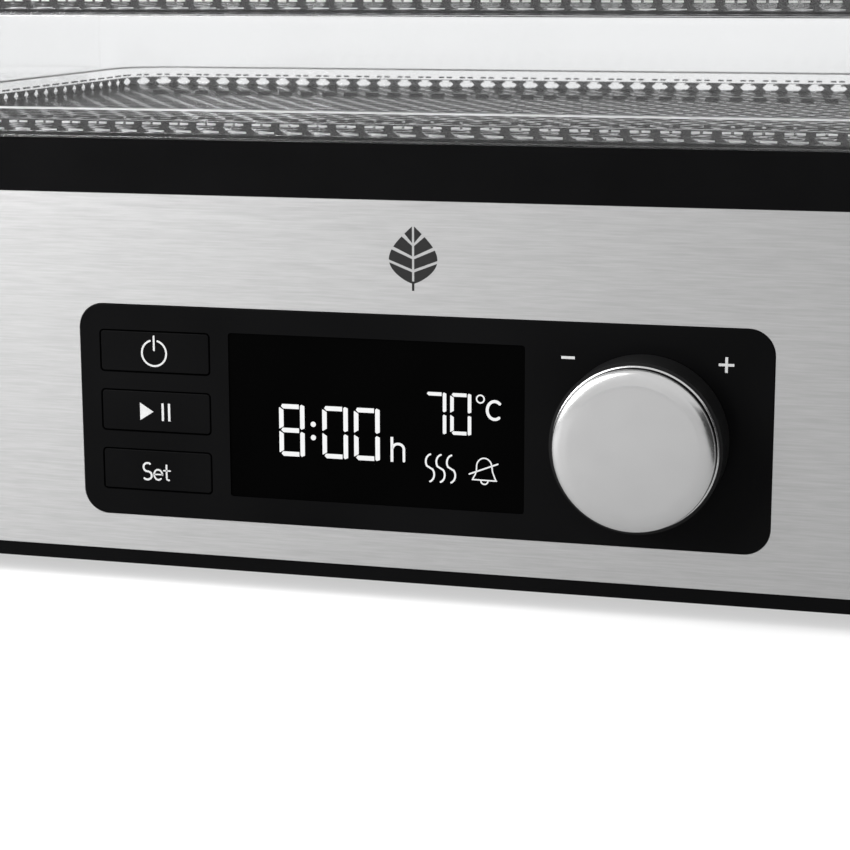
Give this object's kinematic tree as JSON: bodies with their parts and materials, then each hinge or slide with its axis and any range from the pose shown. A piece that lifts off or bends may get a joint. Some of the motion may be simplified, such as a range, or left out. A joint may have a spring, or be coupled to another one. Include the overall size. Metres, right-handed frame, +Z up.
{
  "type": "food dehydrator",
  "caption": "Kitchen food dehydrator: steel-banded fan and heater base with display, keys and a turning knob, under clear stacking trays and a vented lid.",
  "frame": {"origin": "under the middle of the whole object, on the surface its feet stand on", "axes": "+Z up, -Y to the front with the controls, +X to the right as seen from the front"},
  "size_m": [0.255, 0.1849, 0.2096],
  "materials": {
    "brushed_steel": "horizontally brushed",
    "black_plastic": "fine satin",
    "gloss_black": "gloss",
    "dark_window": "polished, nearly opaque",
    "display_glow": "dark glass",
    "satin_metal": "satin",
    "clear_plastic": "clear",
    "foot_rubber": "matt",
    "grey_plastic": "moulded",
    "dark_plastic": "moulded",
    "foam": "foam",
    "circuit_board": "solder mask",
    "zinc_metal": "zinc plated",
    "bare_aluminium": "bare",
    "bronze": "sintered",
    "mica": "laminated",
    "heating_wire": "oxidised",
    "ceramic": "glazed",
    "iron_core": "laminated",
    "relay_plastic": "moulded",
    "capacitor_sleeve": "shrink sleeve",
    "wire_grey": "insulation",
    "wire_red": "silicone insulation"
  },
  "bodies": {
    "base": {"bottom_pan": "black_plastic", "rubber_feet": "foot_rubber", "inner_frame": "grey_plastic", "steel_band": "brushed_steel", "top_deck": "black_plastic", "outlet_grille": "black_plastic", "control_fascia": "gloss_black", "display_window": "dark_window", "display_gasket": "foam", "display_module": "display_glow", "control_board": "circuit_board", "tact_switches": "dark_plastic", "encoder_body": "zinc_metal", "encoder_nut": "zinc_metal", "board_screws": "zinc_metal", "fan_shroud": "grey_plastic", "heat_shield": "bare_aluminium", "motor_bracket": "zinc_metal", "fan_motor": "zinc_metal", "motor_bearings": "bronze", "heater_frame": "mica", "heater_coil": "heating_wire", "thermal_cutout": "dark_plastic", "thermal_fuse": "ceramic", "temperature_sensor": "zinc_metal", "power_board": "circuit_board", "transformer": "iron_core", "relay": "relay_plastic", "capacitors": "capacitor_sleeve", "mains_fuse": "ceramic", "terminal_block": "dark_plastic", "cord_gland": "foot_rubber", "ribbon_cable": "wire_grey", "heater_leads": "wire_red", "motor_leads": "wire_grey", "sensor_lead": "wire_grey", "bottom_screws": "zinc_metal", "deck_screws": "zinc_metal", "shroud_screws": "zinc_metal", "bracket_screws": "zinc_metal", "motor_screws": "zinc_metal", "power_board_screws": "zinc_metal"},
    "knob": {"knob_body": "black_plastic", "knob_cap": "satin_metal", "encoder_shaft": "zinc_metal"},
    "power_key": {"power_key": "gloss_black"},
    "start_key": {"start_key": "gloss_black"},
    "set_key": {"set_key": "gloss_black"},
    "fan": {"motor_shaft": "zinc_metal", "fan_impeller": "dark_plastic"},
    "tray_1": {"tray_1": "clear_plastic"},
    "tray_2": {"tray_2": "clear_plastic"},
    "tray_3": {"tray_3": "clear_plastic"},
    "tray_4": {"tray_4": "clear_plastic"},
    "tray_5": {"tray_5": "clear_plastic"},
    "lid": {"lid": "clear_plastic"}
  },
  "joints": [
    {"name": "knob_spin", "type": "hinge", "parent": "base", "child": "knob", "pos_m": [0.0423, -0.086, 0.03375], "axis": [0, -1, 0], "continuous": true},
    {"name": "fan_spin", "type": "hinge", "parent": "base", "child": "fan", "pos_m": [0, 0.006, 0.045], "axis": [0, 0, 1], "continuous": true},
    {"name": "power_press", "type": "slide", "parent": "base", "child": "power_key", "axis": [0, 1, 0], "range_m": [0, 0.0008], "stiffness_N_per_m": 1500, "springref_m": -0.0004},
    {"name": "start_press", "type": "slide", "parent": "base", "child": "start_key", "axis": [0, 1, 0], "range_m": [0, 0.0008], "stiffness_N_per_m": 1500, "springref_m": -0.0004},
    {"name": "set_press", "type": "slide", "parent": "base", "child": "set_key", "axis": [0, 1, 0], "range_m": [0, 0.0008], "stiffness_N_per_m": 1500, "springref_m": -0.0004},
    {"name": "tray_1_lift", "type": "slide", "parent": "base", "child": "tray_1", "axis": [0, 0, 1], "range_m": [0, 0.05]},
    {"name": "tray_2_lift", "type": "slide", "parent": "tray_1", "child": "tray_2", "axis": [0, 0, 1], "range_m": [0, 0.05]},
    {"name": "tray_3_lift", "type": "slide", "parent": "tray_2", "child": "tray_3", "axis": [0, 0, 1], "range_m": [0, 0.05]},
    {"name": "tray_4_lift", "type": "slide", "parent": "tray_3", "child": "tray_4", "axis": [0, 0, 1], "range_m": [0, 0.05]},
    {"name": "tray_5_lift", "type": "slide", "parent": "tray_4", "child": "tray_5", "axis": [0, 0, 1], "range_m": [0, 0.05]},
    {"name": "lid_lift", "type": "slide", "parent": "tray_5", "child": "lid", "axis": [0, 0, 1], "range_m": [0, 0.05]}
  ]
}
